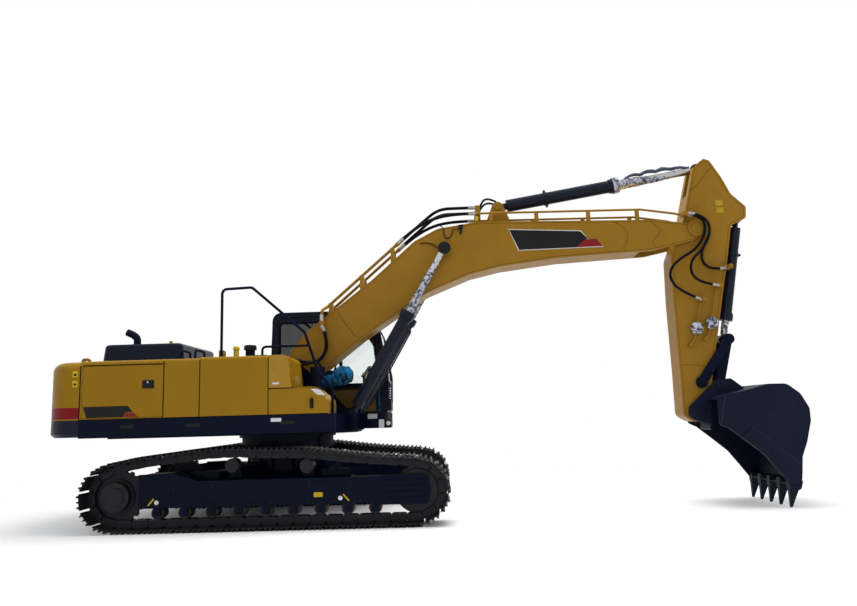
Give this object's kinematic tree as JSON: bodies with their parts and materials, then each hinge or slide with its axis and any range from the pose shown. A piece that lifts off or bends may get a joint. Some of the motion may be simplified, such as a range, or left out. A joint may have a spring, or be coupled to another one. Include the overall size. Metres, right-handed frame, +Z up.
{
  "type": "crawler excavator",
  "caption": "Crawler excavator: tracked undercarriage, slewing upper with cab and counterweight, boom, arm and bucket worked by hydraulic cylinders.",
  "frame": {"origin": "on the ground under the middle of the whole machine's box", "axes": "+X forwards along the boom, +Y to the machine's left, +Z up"},
  "size_m": [10.7908, 3.19, 5.2569],
  "materials": {
    "yellow_paint": "gloss",
    "dark_paint": "satin",
    "black_paint": "satin",
    "track_steel": "rough",
    "motor_paint": "gloss",
    "rod_chrome": "polished",
    "hose_rubber": "matte",
    "pane": "polished",
    "seat_cloth": "matte",
    "trim": "matte"
  },
  "bodies": {
    "undercarriage": {"track_right": "track_steel", "track_left": "track_steel", "track_frame_right": "dark_paint", "track_frame_left": "dark_paint", "sprockets": "track_steel", "idlers": "track_steel", "rollers": "track_steel", "car_body": "dark_paint", "swing_ring": "dark_paint"},
    "upper": {"main_frame": "black_paint", "side_decks": "dark_paint", "counterweight": "yellow_paint", "engine_block": "dark_paint", "housing": "yellow_paint", "hydraulic_tank": "yellow_paint", "fuel_tank": "yellow_paint", "toolbox": "yellow_paint", "top_fittings": "black_paint", "grab_hoops": "black_paint", "swing_motor": "motor_paint", "handrail": "black_paint", "cab_shell": "black_paint", "cab_glass": "pane", "seat": "seat_cloth", "consoles": "trim", "control_valve": "dark_paint"},
    "engine_hood": {"engine_hood": "black_paint", "exhaust": "black_paint"},
    "pump_door": {"pump_door": "yellow_paint"},
    "radiator_door": {"radiator_door": "yellow_paint"},
    "battery_door": {"battery_door": "yellow_paint"},
    "toolbox_lid": {"toolbox_lid": "yellow_paint"},
    "cab_door": {"cab_door": "black_paint", "door_glass": "pane"},
    "boom": {"boom": "yellow_paint", "boom_pipes": "yellow_paint", "knee_hoses": "hose_rubber", "boom_hoses": "hose_rubber"},
    "boom_barrels": {"boom_barrels": "dark_paint"},
    "boom_rods": {"boom_rods": "rod_chrome"},
    "arm_barrel": {"arm_barrel": "dark_paint"},
    "arm_rod": {"arm_rod": "rod_chrome"},
    "arm": {"arm": "yellow_paint", "arm_pipes": "yellow_paint", "arm_hoses": "hose_rubber"},
    "bucket_barrel": {"bucket_barrel": "dark_paint"},
    "bucket_rod": {"bucket_rod": "rod_chrome"},
    "side_links": {"side_links": "dark_paint"},
    "bucket_link": {"bucket_link": "dark_paint"},
    "bucket": {"bucket": "dark_paint"}
  },
  "joints": [
    {"name": "slew", "type": "hinge", "parent": "undercarriage", "child": "upper", "pos_m": [-2.1555, 0, 1.158], "axis": [0, 0, 1], "continuous": true},
    {"name": "boom_lift", "type": "hinge", "parent": "upper", "child": "boom", "pos_m": [-1.9855, 0, 2.106], "axis": [0, -1, 0], "range_deg": [-54, 38], "deforming": ["boom_hoses"]},
    {"name": "boom_cylinder_tilt", "type": "hinge", "parent": "upper", "child": "boom_barrels", "pos_m": [-1.1355, 0, 1.45], "axis": [0, -1, 0], "range_deg": [-55, 39]},
    {"name": "boom_rod_slide", "type": "slide", "parent": "boom_barrels", "child": "boom_rods", "axis": [0.502, 0, 0.8649], "range_m": [-0.9, 0.66]},
    {"name": "arm_swing", "type": "hinge", "parent": "boom", "child": "arm", "pos_m": [4.1745, 0, 4.141], "axis": [0, 1, 0], "range_deg": [-62, 37], "deforming": ["arm_hoses"]},
    {"name": "arm_cylinder_tilt", "type": "hinge", "parent": "boom", "child": "arm_barrel", "pos_m": [1.1645, 0, 4.63], "axis": [0, -1, 0], "range_deg": [-3, 3]},
    {"name": "arm_rod_slide", "type": "slide", "parent": "arm_barrel", "child": "arm_rod", "axis": [0.9872, 0, 0.1593], "range_m": [-0.97, 0.58]},
    {"name": "bucket_curl", "type": "hinge", "parent": "arm", "child": "bucket", "pos_m": [3.9445, 0, 1.335], "axis": [0, 1, 0], "range_deg": [0, 150]},
    {"name": "side_link_turn", "type": "hinge", "parent": "arm", "child": "side_links", "pos_m": [4.0785, 0, 1.787], "axis": [0, 1, 0], "range_deg": [0, 122]},
    {"name": "bucket_link_turn", "type": "hinge", "parent": "side_links", "child": "bucket_link", "pos_m": [4.5325, 0, 2.424], "axis": [0, -1, 0], "range_deg": [0, 73]},
    {"name": "bucket_cylinder_tilt", "type": "hinge", "parent": "arm", "child": "bucket_barrel", "pos_m": [4.8945, 0, 4.32], "axis": [0, -1, 0], "range_deg": [0, 8]},
    {"name": "bucket_rod_slide", "type": "slide", "parent": "bucket_barrel", "child": "bucket_rod", "axis": [-0.1875, 0, -0.9823], "range_m": [0, 1.37]},
    {"name": "cab_door_swing", "type": "hinge", "parent": "upper", "child": "cab_door", "pos_m": [-1.9595, 1.49, 2.27], "axis": [0, 0, 1], "range_deg": [0, 165]},
    {"name": "pump_door_swing", "type": "hinge", "parent": "upper", "child": "pump_door", "pos_m": [-4.6185, -1.495, 1.84], "axis": [0, 0, -1], "range_deg": [0, 110]},
    {"name": "radiator_door_swing", "type": "hinge", "parent": "upper", "child": "radiator_door", "pos_m": [-4.6185, 1.495, 1.84], "axis": [0, 0, 1], "range_deg": [0, 110]},
    {"name": "battery_door_swing", "type": "hinge", "parent": "upper", "child": "battery_door", "pos_m": [-3.5195, 1.495, 1.84], "axis": [0, 0, 1], "range_deg": [0, 110]},
    {"name": "engine_hood_lift", "type": "hinge", "parent": "upper", "child": "engine_hood", "pos_m": [-3.5055, 0, 2.266], "axis": [0, 1, 0], "range_deg": [0, 55]},
    {"name": "toolbox_lid_lift", "type": "hinge", "parent": "upper", "child": "toolbox_lid", "pos_m": [-1.7805, -1.13, 1.832], "axis": [0, -1, 0], "range_deg": [0, 80]}
  ],
  "couplings": [
    {"joint": "boom_cylinder_tilt", "follows": "boom_lift", "ratio": 1},
    {"joint": "boom_rod_slide", "follows": "boom_lift", "m_per_rad": 0.952},
    {"joint": "arm_cylinder_tilt", "follows": "arm_swing", "ratio": -0.03},
    {"joint": "arm_rod_slide", "follows": "arm_swing", "m_per_rad": 0.89},
    {"joint": "side_link_turn", "follows": "bucket_curl", "ratio": 0.81},
    {"joint": "bucket_link_turn", "follows": "bucket_curl", "ratio": 0.48},
    {"joint": "bucket_cylinder_tilt", "follows": "bucket_curl", "ratio": 0.045},
    {"joint": "bucket_rod_slide", "follows": "bucket_curl", "m_per_rad": 0.52}
  ]
}
